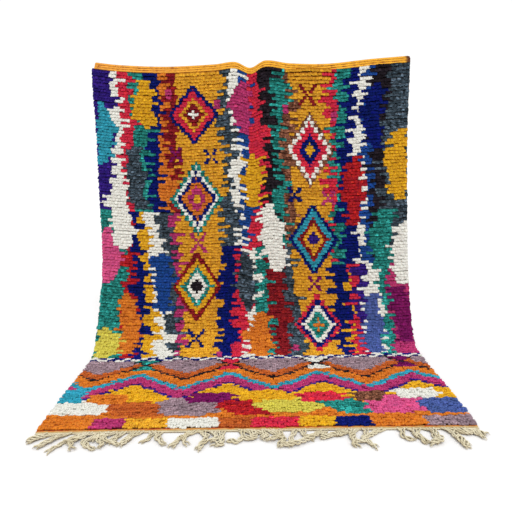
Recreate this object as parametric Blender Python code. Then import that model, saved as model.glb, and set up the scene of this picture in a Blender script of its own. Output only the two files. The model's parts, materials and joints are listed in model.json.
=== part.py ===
"""A hand-knotted boujaad rug, hung by its top edge so that it falls, bends and runs out on the floor.

Metres, +Z up. The floor is z = 0, +X is the right-hand side seen from the front, and the pile faces -Y
where the rug hangs and +Z where it lies. The origin is on the floor, under the middle of the whole thing.
"""

import math

import bmesh
import bpy
from mathutils import Vector

# The rug's own size. "along" runs from the top edge (0) to the end of the weave at the front (LENGTH).
HALF_WIDTH = 0.85
LENGTH = 2.31
THICKNESS = 0.016  # foundation and pile together
TOP_HEADING_LENGTH = 0.035
FRONT_HEADING_LENGTH = 0.014
FRONT_HEADING_THICKNESS = 0.006
GAP = 0.0003  # between pieces that meet

# The top heading's ribs. Each place has the height of its back and of its front above the back of the cloth.
RIBS = 3
STEPS_PER_RIB = 4
RIB_HEIGHTS = {"crown": (0.0, 0.0155), "valley": (0.0015, 0.0125), "lip": (0.003, 0.010)}

# How each side hangs. "top_y" and "height" place its top corner, "slack" is the radius of its bend where
# it meets the floor, and "front_y" is where the weave ends.
SIDES = {
    "left": {"top_y": 0.644, "height": 1.534, "slack": 0.185, "front_y": -0.497},
    "right": {"top_y": 0.570, "height": 1.507, "slack": 0.120, "front_y": -0.516},
}

# The top edge sags between the places where it is held. (name, across, drop below the line of the corners)
TOP_EDGE = [
    ("left corner", -0.85, 0.000),
    ("left shoulder", -0.70, 0.020),
    ("left sag", -0.45, 0.035),
    ("left of hold", -0.18, 0.025),
    ("left hold", -0.07, 0.017),
    ("notch", 0.01, 0.041),
    ("right hold", 0.09, 0.012),
    ("right of hold", 0.22, 0.025),
    ("right sag", 0.42, 0.030),
    ("right shoulder", 0.66, 0.013),
    ("right corner", 0.85, 0.000),
]

# The side edges aren't straight. (name, along, left reach, right reach)
SIDE_EDGES = [
    ("top corners", 0.00, 0.852, 0.855),
    ("below the heading", 0.10, 0.856, 0.855),
    ("upper hang", 0.40, 0.849, 0.847),
    ("waist", 0.75, 0.847, 0.849),
    ("narrowest", 1.10, 0.837, 0.850),
    ("above the bend", 1.40, 0.850, 0.849),
    ("bend", 1.70, 0.842, 0.839),
    ("floor", 2.00, 0.841, 0.845),
    ("front corners", 2.31, 0.838, 0.847),
]

# The top heading stops short of the sides, and its corners are rounded. (name, along, left end, right end)
TOP_HEADING_ENDS = [
    ("top", 0.000, -0.826, 0.838),
    ("shoulder", 0.006, -0.831, 0.846),
    ("middle", 0.018, -0.834, 0.850),
    ("foot", 0.035, -0.838, 0.850),
]

# Soft upright folds in the hanging part. (name, across, width, depth towards the pile side, fades over)
FOLDS = [
    ("left belly", -0.48, 0.24, 0.014, 1.10),
    ("left hold", -0.07, 0.07, 0.012, 0.45),
    ("notch valley", 0.01, 0.05, -0.022, 0.55),
    ("right hold", 0.09, 0.07, 0.012, 0.45),
    ("right hollow", 0.40, 0.20, -0.010, 0.90),
    ("right belly", 0.62, 0.16, 0.009, 1.20),
]
FRONT_BOW = 0.005  # how far the middle of the front edge lies behind the line of its corners

# Mesh stations. (name, from, to, steps)
ACROSS_STEPS = [
    ("left", -0.85, -0.21, 11),
    ("middle", -0.21, 0.23, 13),
    ("right", 0.23, 0.85, 11),
]
ALONG_STEPS = [
    ("hanging", 0.0, 1.20, 13),
    ("bend", 1.20, 1.74, 15),
    ("lying", 1.74, 2.31, 5),
]

# The fringe: an edge cord with teeth. Each tooth is a bundle of warps, knotted partway and frayed at its tip.
EDGE_CORD = 0.009
FRINGE_THICKNESS = 0.010
TOOTH_BEND = 1.4  # 1 is straight, and more is bent nearer the tip
# (fraction of the tooth, half width)
TOOTH_SHAPE = [
    (0.00, 0.0100),
    (0.20, 0.0060),
    (0.42, 0.0095),
    (0.58, 0.0068),
    (0.88, 0.0112),
    (1.00, 0.0078),
]
# (across at the root, sideways to the tip, forward to the tip, times as thick as the shape above)
TEETH = [
    (-0.800, -0.046, 0.044, 1.25),
    (-0.712, -0.088, 0.098, 1.05),
    (-0.664, -0.078, 0.114, 0.95),
    (-0.624, -0.028, 0.106, 0.90),
    (-0.570, -0.006, 0.108, 1.35),
    (-0.526, 0.030, 0.074, 0.85),
    (-0.446, -0.044, 0.086, 1.15),
    (-0.390, -0.024, 0.070, 0.80),
    (-0.358, 0.038, 0.090, 1.00),
    (-0.236, -0.064, 0.106, 1.05),
    (-0.196, -0.006, 0.114, 1.00),
    (-0.138, 0.014, 0.086, 1.60),
    (-0.068, -0.028, 0.058, 0.90),
    (-0.020, 0.004, 0.058, 1.50),
    (0.030, 0.012, 0.056, 1.20),
    (0.080, 0.020, 0.098, 1.40),
    (0.150, -0.010, 0.100, 1.10),
    (0.192, 0.010, 0.056, 0.90),
    (0.250, -0.020, 0.068, 1.00),
    (0.312, -0.040, 0.050, 1.20),
    (0.372, -0.004, 0.110, 1.00),
    (0.420, 0.022, 0.118, 1.10),
    (0.556, 0.034, 0.072, 0.85),
    (0.604, 0.026, 0.090, 1.10),
    (0.664, 0.004, 0.090, 1.35),
    (0.726, 0.038, 0.114, 1.10),
    (0.790, 0.060, 0.048, 1.15),
]

WOOL_ROUGHNESS = 0.95
COTTON_ROUGHNESS = 0.9


def ease(t):
    """0 to 1 with level ends."""
    t = min(max(t, 0.0), 1.0)
    return t * t * (3 - 2 * t)


def mix(a, b, t):
    return a + (b - a) * t


def read_table(rows, place, column, at):
    """The height at "at" of a smooth curve through the rows. place and column are positions in a row."""

    def slope(i):
        before, after = rows[max(i - 1, 0)], rows[min(i + 1, len(rows) - 1)]
        return (after[column] - before[column]) / (after[place] - before[place])

    i = max([k for k, row in enumerate(rows[:-1]) if row[place] <= at], default=0)
    low, high = rows[i], rows[i + 1]
    run = high[place] - low[place]
    t = min(max((at - low[place]) / run, 0.0), 1.0)
    bend = slope(i) * run * t * (1 - t) ** 2 - slope(i + 1) * run * t * t * (1 - t)
    return mix(low[column], high[column], ease(t)) + bend


def stations(table):
    """The places of a table of (name, from, to, steps), each once."""
    places = [table[0][1]]
    for _, start, end, steps in table:
        places += [mix(start, end, (i + 1) / steps) for i in range(steps)]
    return places


def fold_depth(across, along):
    """How far the hanging cloth stands out of its smooth surface, towards the pile side."""
    depth = 0.0
    for _, centre, width, height, fades_over in FOLDS:
        fade = 1 - ease(along / fades_over)
        depth += height * fade * math.exp(-(((across - centre) / width) ** 2))
    return depth


def column(across):
    """How the strip of cloth at this place across hangs: a catenary down to the floor, then flat."""
    t = (across + HALF_WIDTH) / (2 * HALF_WIDTH)
    left, right = SIDES["left"], SIDES["right"]
    slack = mix(left["slack"], right["slack"], t)
    height = mix(left["height"], right["height"], t) - read_table(TOP_EDGE, 1, 2, across)
    top_y = mix(left["top_y"], right["top_y"], t)
    front_y = mix(left["front_y"], right["front_y"], t) + FRONT_BOW * ease(4 * t * (1 - t))
    hanging = math.sqrt(height * height + 2 * height * slack)
    contact_y = top_y - slack * math.asinh(hanging / slack)
    return {
        "slack": slack,
        "hanging": hanging,
        "contact_y": contact_y,
        "length": hanging + contact_y - front_y,
    }


def cloth_point(across, along, lift):
    """A place in the cloth. lift is the height above its back face, towards the pile side."""
    strip = column(across)
    slack = strip["slack"]
    above = strip["hanging"] - along * strip["length"] / LENGTH
    if above > 0:
        span = math.sqrt(slack * slack + above * above)
        y = strip["contact_y"] + slack * math.asinh(above / slack)
        z = span - slack
        normal_y, normal_z = -above / span, slack / span
    else:
        y, z, normal_y, normal_z = strip["contact_y"] + above, 0.0, 0.0, 1.0
    out = lift + fold_depth(across, along)
    reach = read_table(SIDE_EDGES, 1, 2 if across < 0 else 3, along)
    return Vector((across * reach / HALF_WIDTH, y + normal_y * out, z + normal_z * out))


def wool(name, colour, roughness):
    material = bpy.data.materials.new(name)
    material.use_nodes = True
    surface = material.node_tree.nodes["Principled BSDF"]
    surface.inputs["Base Color"].default_value = (*colour, 1)
    surface.inputs["Roughness"].default_value = roughness
    surface.inputs["Metallic"].default_value = 0.0
    return material


def finish(name, bm, material):
    """Makes the object and gives it its material."""
    bmesh.ops.recalc_face_normals(bm, faces=bm.faces)
    mesh = bpy.data.meshes.new(name)
    bm.to_mesh(mesh)
    bm.free()
    mesh.shade_smooth()
    mesh.set_sharp_from_angle(angle=math.radians(40))
    piece = bpy.data.objects.new(name, mesh)
    piece.data.materials.append(material)
    bpy.context.scene.collection.objects.link(piece)
    return piece


def sheet(name, across, along, back, front, material, ends=None):
    """A closed sheet over a grid of stations. back(j) and front(j) give the lift at the station along, and
    ends(j), if given, its two ends in place of the outer stations."""
    columns, rows = len(across) - 1, len(along) - 1
    bm = bmesh.new()
    bmesh.ops.create_grid(bm, x_segments=columns, y_segments=rows, size=1.0)
    stood = bmesh.ops.extrude_face_region(bm, geom=bm.faces[:], use_keep_orig=True)
    raised = {v for v in stood["geom"] if isinstance(v, bmesh.types.BMVert)}
    for v in bm.verts:
        i = round((v.co.x + 1) / 2 * columns)
        j = round((1 - v.co.y) / 2 * rows)
        lift = front(j) if v in raised else back(j)
        x = ends(j)[i == columns] if ends and i in (0, columns) else across[i]
        v.co = cloth_point(x, along[j], lift)
    return finish(name, bm, material)


def pile_field():
    start = TOP_HEADING_LENGTH + GAP
    end = LENGTH - FRONT_HEADING_LENGTH - GAP
    nearest = 0.02  # no station lies nearer to an end than this
    between = [s for s in stations(ALONG_STEPS) if start + nearest < s < end - nearest]
    along = [start, *between, end]
    material = wool("pile wool", (0.25, 0.10, 0.12), WOOL_ROUGHNESS)
    return sheet("pile_field", stations(ACROSS_STEPS), along, lambda j: 0.0, lambda j: THICKNESS, material)


def top_heading():
    """Plump ribs side by side, as rows of heavy weft make."""
    count = RIBS * STEPS_PER_RIB

    def surface(j, side):
        if j in (0, count):
            return RIB_HEIGHTS["lip"][side]
        bulge = abs(math.sin(math.pi * j / STEPS_PER_RIB))
        return mix(RIB_HEIGHTS["valley"][side], RIB_HEIGHTS["crown"][side], bulge)

    def back(j):
        return surface(j, 0)

    def front(j):
        return surface(j, 1)

    def ends(j):
        return [read_table(TOP_HEADING_ENDS, 1, side, along[j]) for side in (2, 3)]

    along = [TOP_HEADING_LENGTH * j / count for j in range(count + 1)]
    material = wool("heading wool", (0.72, 0.33, 0.02), WOOL_ROUGHNESS)
    return sheet("top_heading", stations(ACROSS_STEPS), along, back, front, material, ends)


def front_heading():
    """A flat-woven strip, thinner than the pile, lying on the floor."""
    start = LENGTH - FRONT_HEADING_LENGTH
    steps = 4
    along = [mix(start, LENGTH, j / steps) for j in range(steps + 1)]

    def front(j):
        return FRONT_HEADING_THICKNESS * (0.6 if j in (0, steps) else 1.0)

    material = wool("end band wool", (0.60, 0.30, 0.06), WOOL_ROUGHNESS)
    return sheet("front_heading", stations(ACROSS_STEPS), along, lambda j: 0.0, front, material)


def tooth_outline(root_x, root_y, sideways, forward, plump):
    """Both sides of one tooth, from its root on the left round its tip to its root on the right."""
    left, right = [], []
    for fraction, half in TOOTH_SHAPE:
        # The bundle leaves square to the edge and then leans over.
        x = root_x + sideways * fraction**TOOTH_BEND
        y = root_y - forward * fraction
        slant = TOOTH_BEND * sideways * fraction ** (TOOTH_BEND - 1)
        lean = Vector((slant, -forward)).normalized()
        side = Vector((-lean.y, lean.x)) * half * plump
        right.append((x + side.x, y + side.y))
        left.append((x - side.x, y - side.y))
    return left + right[::-1]


def fringe_comb():
    bm = bmesh.new()
    edge = [cloth_point(x, LENGTH, 0.0) for x in stations(ACROSS_STEPS)]
    back = [(p.x, p.y - GAP) for p in edge]

    def edge_y(x):
        for (x0, y0), (x1, y1) in zip(back, back[1:]):
            if x <= x1:
                return mix(y0, y1, (x - x0) / (x1 - x0)) - EDGE_CORD
        return back[-1][1] - EDGE_CORD

    front = [(back[0][0], back[0][1] - EDGE_CORD)]
    for root_x, sideways, forward, plump in TEETH:
        front += tooth_outline(root_x, edge_y(root_x), sideways, forward, plump)
    front.append((back[-1][0], back[-1][1] - EDGE_CORD))
    outline = [bm.verts.new((x, y, 0.0)) for x, y in front + back[::-1]]
    base = bm.faces.new(outline)
    raised = bmesh.ops.extrude_face_region(bm, geom=[base], use_keep_orig=True)
    for v in raised["geom"]:
        if isinstance(v, bmesh.types.BMVert):
            v.co.z = FRINGE_THICKNESS
    bmesh.ops.triangulate(bm, faces=[f for f in bm.faces if len(f.verts) > 4])
    material = wool("fringe cotton", (0.68, 0.62, 0.50), COTTON_ROUGHNESS)
    return finish("fringe_comb", bm, material)


def main():
    for old in list(bpy.data.objects):
        bpy.data.objects.remove(old, do_unlink=True)
    pile_field()
    top_heading()
    front_heading()
    fringe_comb()


main()
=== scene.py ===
import json
import math

import bmesh
import bpy
import numpy as np
from mathutils import Euler, Matrix, Vector

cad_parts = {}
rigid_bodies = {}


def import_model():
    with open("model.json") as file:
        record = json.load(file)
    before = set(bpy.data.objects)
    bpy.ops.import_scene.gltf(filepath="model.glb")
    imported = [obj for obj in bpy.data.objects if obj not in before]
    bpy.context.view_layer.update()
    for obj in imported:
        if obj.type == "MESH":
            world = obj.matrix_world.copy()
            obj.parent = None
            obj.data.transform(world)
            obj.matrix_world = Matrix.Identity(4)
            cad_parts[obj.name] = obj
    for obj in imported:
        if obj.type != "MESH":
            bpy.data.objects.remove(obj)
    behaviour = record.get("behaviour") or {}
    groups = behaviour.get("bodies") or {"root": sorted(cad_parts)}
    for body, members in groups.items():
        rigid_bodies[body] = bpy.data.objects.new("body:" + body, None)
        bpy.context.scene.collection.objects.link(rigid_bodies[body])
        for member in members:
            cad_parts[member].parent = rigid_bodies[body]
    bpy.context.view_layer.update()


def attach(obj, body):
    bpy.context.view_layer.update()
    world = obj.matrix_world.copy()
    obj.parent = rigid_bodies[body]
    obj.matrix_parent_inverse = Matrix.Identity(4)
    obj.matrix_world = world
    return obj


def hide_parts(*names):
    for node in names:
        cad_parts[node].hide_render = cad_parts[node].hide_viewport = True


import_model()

scene = bpy.context.scene
scene.view_settings.view_transform = "Standard"  # dyed wool keeps its full colour
fullTurn = 2 * math.pi

# how the rug lies. "along" runs down it from its top edge, "across" from left to right, in metres
cloth = {
    "halfWidth": 0.85,
    "length": 2.31,
    "topHeading": 0.035,
    "frontHeading": 0.014,
    "gap": 0.0003,
    "frontBow": 0.005,
    # each side: where its top corner is, the slack of its bend and where the weave ends
    "left": {"topY": 0.644, "height": 1.534, "slack": 0.185, "frontY": -0.497},
    "right": {"topY": 0.570, "height": 1.507, "slack": 0.120, "frontY": -0.516},
    # across, drop of the top edge
    "topEdge": [
        (-0.85, 0.000), (-0.70, 0.020), (-0.45, 0.035), (-0.18, 0.025), (-0.07, 0.017),
        (0.01, 0.041), (0.09, 0.012), (0.22, 0.025), (0.42, 0.030), (0.66, 0.013), (0.85, 0.000),
    ],
    # along, reach of the left edge, reach of the right edge
    "sideEdges": [
        (0.00, 0.852, 0.855), (0.10, 0.856, 0.855), (0.40, 0.849, 0.847), (0.75, 0.847, 0.849),
        (1.10, 0.837, 0.850), (1.40, 0.850, 0.849), (1.70, 0.842, 0.839), (2.00, 0.841, 0.845),
        (2.31, 0.838, 0.847),
    ],
    # across, width, depth, fades over
    "folds": [
        (-0.48, 0.24, 0.014, 1.10), (-0.07, 0.07, 0.012, 0.45), (0.01, 0.05, -0.022, 0.55),
        (0.09, 0.07, 0.012, 0.45), (0.40, 0.20, -0.010, 0.90), (0.62, 0.16, 0.009, 1.20),
    ],
    # where each side of a sheet starts in the map that a bake uses, and how wide it is there
    "bakeMap": {"back": (0.01, 0.84), "front": (0.87, 0.12), "margin": 0.01},
    "sharpFrom": math.radians(50),
}


def ease(t):
    t = np.clip(t, 0.0, 1.0)
    return t * t * (3 - 2 * t)


def unit(vectors):
    return vectors / np.linalg.norm(vectors, axis=-1, keepdims=True)


def readTable(rows, column, at):
    # the height at each place of a smooth curve through the rows
    table = np.array(rows, float)
    place, value = table[:, 0], table[:, column]
    before = np.maximum(np.arange(len(table)) - 1, 0)
    after = np.minimum(np.arange(len(table)) + 1, len(table) - 1)
    slope = (value[after] - value[before]) / (place[after] - place[before])
    i = np.clip(np.searchsorted(place, at, side="right") - 1, 0, len(table) - 2)
    run = place[i + 1] - place[i]
    t = np.clip((at - place[i]) / run, 0, 1)
    bend = slope[i] * run * t * (1 - t) ** 2 - slope[i + 1] * run * t * t * (1 - t)
    return value[i] + (value[i + 1] - value[i]) * ease(t) + bend


def sideMix(key, across):
    share = (across + cloth["halfWidth"]) / (2 * cloth["halfWidth"])
    return cloth["left"][key] + (cloth["right"][key] - cloth["left"][key]) * share


def drape(across, along, lift=0.0):
    # places in the cloth: each strip hangs as a catenary down to the floor and then lies flat
    across, along, lift = np.broadcast_arrays(np.asarray(across, float), along, lift)
    share = (across + cloth["halfWidth"]) / (2 * cloth["halfWidth"])
    slack = sideMix("slack", across)
    height = sideMix("height", across) - readTable(cloth["topEdge"], 1, across)
    hanging = np.sqrt(height * height + 2 * height * slack)
    touchY = sideMix("topY", across) - slack * np.arcsinh(hanging / slack)
    frontY = sideMix("frontY", across) + cloth["frontBow"] * ease(4 * share * (1 - share))
    above = hanging - along * (hanging + touchY - frontY) / cloth["length"]
    bent = np.maximum(above, 0)
    span = np.sqrt(slack * slack + bent * bent)
    y = touchY + slack * np.arcsinh(bent / slack) + np.minimum(above, 0)
    out = lift.astype(float)
    for centre, width, depth, fadesOver in cloth["folds"]:
        fade = 1 - ease(along / fadesOver)
        out = out + depth * fade * np.exp(-(((across - centre) / width) ** 2))
    sides = [readTable(cloth["sideEdges"], column, along) for column in (1, 2)]
    reach = np.where(across < 0, sides[0], sides[1])
    x = across * reach / cloth["halfWidth"]
    return np.stack([x, y - bent / span * out, span - slack + slack / span * out], -1)


def clothFrame(across, along, step=0.002):
    # unit vectors: down the rug, and out of its pile side
    side = drape(across + step, along) - drape(across - step, along)
    down = unit(drape(across, along + step) - drape(across, along - step))
    return down, unit(np.cross(down, side))


def meshFrom(bm, name):
    mesh = bpy.data.meshes.new(name)
    bm.to_mesh(mesh)
    bm.free()
    return mesh


def finishedMesh(holder, name):
    # the mesh of an object once its curve or its modifier is worked out
    ready = holder.evaluated_get(bpy.context.evaluated_depsgraph_get())
    mesh = bpy.data.meshes.new_from_object(ready)
    bpy.data.objects.remove(holder)
    mesh.name = name
    return mesh


def readMesh(mesh):
    # its places, the vertex at each face corner, and each face's count of corners and middle
    flat = np.empty(len(mesh.vertices) * 3)
    mesh.vertices.foreach_get("co", flat)
    flat = flat.reshape(-1, 3)
    corner = np.empty(len(mesh.loops), int)
    mesh.loops.foreach_get("vertex_index", corner)
    first = np.empty(len(mesh.polygons), int)
    mesh.polygons.foreach_get("loop_start", first)
    total = np.diff(np.append(first, len(corner)))
    return flat, corner, total, np.add.reduceat(flat[corner], first) / total[:, None]


def addMap(mesh, name, u, v):
    values = np.stack([u, v], -1).astype(np.float32).ravel()
    mesh.uv_layers.new(name=name).uv.foreach_set("vector", values)


def clothSheet(name, columns, rows, place, coarser=1):
    # a closed sheet on the cloth, its front coarser than its back. place(u, v, front) gives
    # across, along and lift from shares of its size
    bm = bmesh.new()
    for height, fewer in enumerate((1, coarser)):
        bmesh.ops.create_grid(bm, x_segments=columns // fewer, y_segments=rows // fewer, size=0.5,
                              matrix=Matrix.Translation((0, 0, height)))
    bmesh.ops.bridge_loops(bm, edges=[e for e in bm.edges if e.is_boundary])
    bmesh.ops.recalc_face_normals(bm, faces=bm.faces)
    mesh = meshFrom(bm, name)
    flat, corner, total, middle = readMesh(mesh)
    middle = np.repeat(middle, total, axis=0)
    u, v, front = flat[:, 0] + 0.5, 0.5 - flat[:, 1], flat[:, 2] > 0.5
    mesh.vertices.foreach_set("co", drape(*place(u, v, front)).ravel())
    # the weave's own map, and the map that a bake uses
    addMap(mesh, "weave", u[corner], 1 - v[corner])
    isFront = middle[:, 2] > 0.5
    layout = cloth["bakeMap"]
    start, wide = (np.where(isFront, a, b) for a, b in zip(layout["front"], layout["back"]))
    margin = layout["margin"]
    addMap(mesh, "OFBake", start + wide * u[corner], margin + (1 - 2 * margin) * (1 - v[corner]))
    mesh.shade_smooth()
    mesh.set_sharp_from_angle(angle=cloth["sharpFrom"])
    return mesh, middle[:, 0] + 0.5, 0.5 - middle[:, 1], isFront


def addPiece(name, mesh, material):
    mesh.materials.clear()
    mesh.materials.append(material)
    piece = bpy.data.objects.new(name, mesh)
    scene.collection.objects.link(piece)
    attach(piece, "root")
    return piece


def linear(colour):
    # an sRGB colour as the four numbers that a shader takes
    return (*(c / 12.92 if c <= 0.04045 else ((c + 0.055) / 1.055) ** 2.4 for c in colour), 1)


# the yarns: their dye colour as sRGB numbers, how much painted shade darkens the roots down in the
# pile, how heathered the yarn is
yarns = {
    "gold": ((0.94, 0.70, 0.17), 0.90, 0.28),
    "amber": ((0.93, 0.71, 0.08), 0.75, 0.24),
    "lemon": ((0.86, 0.82, 0.33), 0.60, 0.18),
    "orange": ((0.88, 0.50, 0.14), 0.72, 0.24),
    "rust": ((0.78, 0.39, 0.16), 0.75, 0.34),
    "crimson": ((0.87, 0.17, 0.29), 0.80, 0.34),
    "red": ((0.74, 0.11, 0.15), 0.80, 0.50),
    "maroon": ((0.55, 0.11, 0.15), 0.85, 0.66),
    "magenta": ((0.75, 0.23, 0.47), 0.78, 0.38),
    "pink": ((0.88, 0.35, 0.58), 0.70, 0.26),
    "plum": ((0.49, 0.09, 0.38), 0.78, 0.45),
    "navy": ((0.03, 0.10, 0.45), 0.85, 0.55),
    "royal": ((0.11, 0.30, 0.62), 0.80, 0.45),
    "indigo": ((0.20, 0.12, 0.52), 0.80, 0.45),
    "periwinkle": ((0.31, 0.40, 0.67), 0.70, 0.36),
    "teal": ((0.16, 0.58, 0.55), 0.92, 0.90),
    "turquoise": ((0.20, 0.65, 0.75), 0.70, 0.36),
    "slate": ((0.26, 0.33, 0.38), 0.92, 1.35),
    "mauve": ((0.63, 0.54, 0.58), 0.75, 0.50),
    "brown": ((0.52, 0.34, 0.26), 0.92, 1.20),
    "black": ((0.15, 0.13, 0.16), 0.80, 0.85),
    "white": ((0.915, 0.915, 0.88), 0.12, 0.06),
}
yarnNames = list(yarns)
rootShadeTint = (0.60, 0.39, 0.30)  # painted shade at the roots, deep in the pile: warm yarns go brown in it, and the others go dark

# the design, charted on the knots. Everything in it is counted in knots across and in rows
knots = {"across": 157, "rows": 137}
design = {
    "shortFinger": 0.22,  # a share of the longest, for the rows that hardly reach
    "longFinger": (0.45, 1.0),
    "longShare": 0.38,  # of all rows
    "bandFinger": 6.0,
    "bandWander": (1.6, 9),  # how far an edge drifts, and over how many rows
    "streakFray": 4.2,
    "streakWander": (1.2, 5),
    "patchFray": 3.4,
    "patchSquareness": 2.3,
    "toothed": 0.05,  # of every other lozenge's size
    "floorRow": 98,
    "patchRow": 126,
    "barRow": 133,
    "chevron": 39.25,  # a quarter of the width
    "chevronHeight": 9,
    "chevronShift": 8,
}
chart = np.zeros((knots["rows"], knots["across"]), int)
rowOf, knotOf = np.indices(chart.shape).astype(float)


def yarnColour(name, deep=False):
    # deep gives the root colour: the yarn in painted shade, down in the pile
    colour = yarns[name][0]
    return linear([c * k for c, k in zip(colour, rootShadeTint)] if deep else colour)


def paint(where, yarn):
    chart[where] = yarnNames.index(yarn)


def wander(seed, size, reach):
    # a slow drift from row to row
    rng = np.random.default_rng(seed)
    count = knots["rows"] // reach + 3
    drift = rng.uniform(-size, size, count)
    return np.interp(rowOf[:, 0] / reach, np.arange(count), drift)


def fingers(seed, longest):
    # a row or two reaches far into the next colour, and the rows between hardly do
    rng = np.random.default_rng(seed)
    reach = rng.uniform(0.0, design["shortFinger"], knots["rows"])
    far = rng.random(knots["rows"]) < design["longShare"]
    reach[far] = rng.uniform(*design["longFinger"], far.sum())
    return reach * longest


def bands(table, rows, start, seed, fromRight):
    # upright bands of colour that lock into each other. Each has its yarn and its far edge at
    # three heights
    side = knots["across"] - 1 - knotOf if fromRight else knotOf
    t = np.clip((rowOf[:, 0] - rows[0]) / (rows[1] - rows[0]), 0, 1)
    inside = (rowOf >= rows[0]) & (rowOf < rows[1])
    near = np.full(knots["rows"], float(start))
    for k, (yarn, high, middle, low) in enumerate(table):
        far = np.where(t < 0.5, high + (middle - high) * ease(2 * t),
                       middle + (low - middle) * ease(2 * t - 1))
        far = far + wander(seed + k, *design["bandWander"])
        far = far + fingers(seed + 40 + k, design["bandFinger"])
        paint(inside & (side >= near[:, None]) & (side < far[:, None]), yarn)
        near = far


def lozenge(across, row, halfAcross, halfRow, rings, teeth):
    # nested diamonds: the first ring is the outermost, and each has its yarn and its share of the
    # size. teeth moves every other row's edge
    away = np.abs(knotOf - across) / halfAcross + np.abs(rowOf - row) / halfRow
    away = away + teeth * (rowOf % 2)
    for yarn, share in rings:
        paint(away < share, yarn)


def cross(across, row, arm, yarn):
    du, dv = np.abs(knotOf - across), np.abs(rowOf - row)
    paint((np.abs(du - dv * 1.25) < 1) & (dv <= arm), yarn)


def plus(across, row, arm, yarn):
    du, dv = np.abs(knotOf - across), np.abs(rowOf - row)
    paint(((du < 1.4) & (dv <= arm)) | ((dv < 1) & (du <= arm * 1.4)), yarn)


def hourglass(across, row, halfAcross, halfRow, yarn, outline):
    # two triangles that meet at their points
    du, dv = np.abs(knotOf - across), np.abs(rowOf - row)
    for name, grown in ((outline, 1.6), (yarn, 0.0)):
        paint((dv <= halfRow + grown * 0.6) & (du <= halfAcross * dv / halfRow + grown), name)


def checks(row, lines, width, yarnA, yarnB):
    # from side to side, each check one row high
    odd = (np.floor(knotOf / width) + rowOf - row) % 2 == 1
    inside = (rowOf >= row) & (rowOf < row + lines)
    paint(inside & odd, yarnA)
    paint(inside & ~odd, yarnB)


def zigzag(first, last, period, height, phase, stripes):
    # stepped chevrons from side to side. Each stripe has its yarn and how many rows it is deep
    wave = np.abs((((knotOf - phase) / period) % 1.0) * 2 - 1) * height
    down = rowOf - first - wave
    start = 0.0
    for yarn, deep in stripes:
        paint((rowOf < last) & (down >= start) & (down < start + deep), yarn)
        start += deep


def patch(yarn, across, row, halfAcross, halfRow, lean, seed):
    # a free shape of one colour, with a ragged outline. lean slides it sideways row by row
    fray, square = design["patchFray"], design["patchSquareness"]
    dv = (rowOf - row) / halfRow
    middle = across + lean * (rowOf - row) + wander(seed + 300, fray * 0.8, 4)[:, None]
    half = halfAcross * np.clip(1 - np.abs(dv) ** square, 0, 1) ** (1 / square)
    leftOut, rightOut = (fingers(seed + 400 * side, fray)[:, None] for side in (1, 2))
    inside = (knotOf > middle - half - leftOut) & (knotOf < middle + half + rightOut)
    paint((np.abs(dv) < 1) & inside, yarn)


def streak(yarn, stops, seed):
    # a long shape that runs down the rug. Its stops are row, middle and half width
    row, middle, half = np.array(stops, float).T
    at = rowOf[:, 0]
    centre = np.interp(at, row, middle) + wander(seed + 600, *design["streakWander"])
    narrowed = np.clip(np.minimum(at - row[0], row[-1] - at) / 3 + 0.45, 0, 1)
    reach = np.interp(at, row, half) * narrowed
    left = centre - reach - fingers(seed + 700, design["streakFray"])
    right = centre + reach + fingers(seed + 900, design["streakFray"])
    inside = (at >= row[0]) & (at <= row[-1])
    paint(inside[:, None] & (knotOf >= left[:, None]) & (knotOf < right[:, None]), yarn)


# the upper part: two gold columns, with bands of yarn that finger into one another beside and
# between them. Each group of bands: rows, first edge, whether it is counted from the right, bands
bandGroups = [
    ((0, 46), -1, False, [
        ("indigo", 7, 5, 6), ("white", 12, 11, 13), ("crimson", 18, 17, 18), ("teal", 24, 25, 24),
        ("navy", 31, 32, 31), ("orange", 34, 34, 35), ("maroon", 40, 40, 39),
    ]),
    ((46, 98), -1, False, [
        ("teal", 6, 9, 12), ("red", 12, 14, 17), ("navy", 18, 21, 23), ("amber", 21, 25, 27),
        ("white", 27, 32, 34), ("slate", 34, 38, 39), ("magenta", 38, 41, 41),
    ]),
    ((0, 58), 56, False, [
        ("gold", 61, 62, 60), ("slate", 67, 67, 67), ("white", 72, 72, 71), ("royal", 77, 76, 76),
        ("crimson", 82, 83, 81), ("black", 88, 88, 88), ("teal", 94, 93, 95), ("brown", 97, 97, 99),
    ]),
    ((58, 98), 54, False, [
        ("gold", 60, 58, 57), ("navy", 67, 66, 66), ("crimson", 72, 72, 71), ("white", 78, 79, 80),
        ("teal", 85, 86, 86), ("maroon", 90, 92, 94), ("slate", 97, 100, 103),
    ]),
    ((0, 64), -1, True, [
        ("slate", 8, 10, 8), ("black", 13, 15, 14), ("royal", 18, 20, 19), ("white", 22, 25, 23),
        ("navy", 28, 31, 30), ("teal", 34, 34, 35), ("crimson", 37, 38, 37),
    ]),
    ((64, 98), -1, True, [
        ("magenta", 7, 6, 9), ("teal", 13, 12, 14), ("white", 19, 19, 20), ("indigo", 24, 24, 22),
        ("crimson", 28, 27, 27), ("amber", 30, 29, 29), ("navy", 36, 36, 35),
    ]),
]
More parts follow.
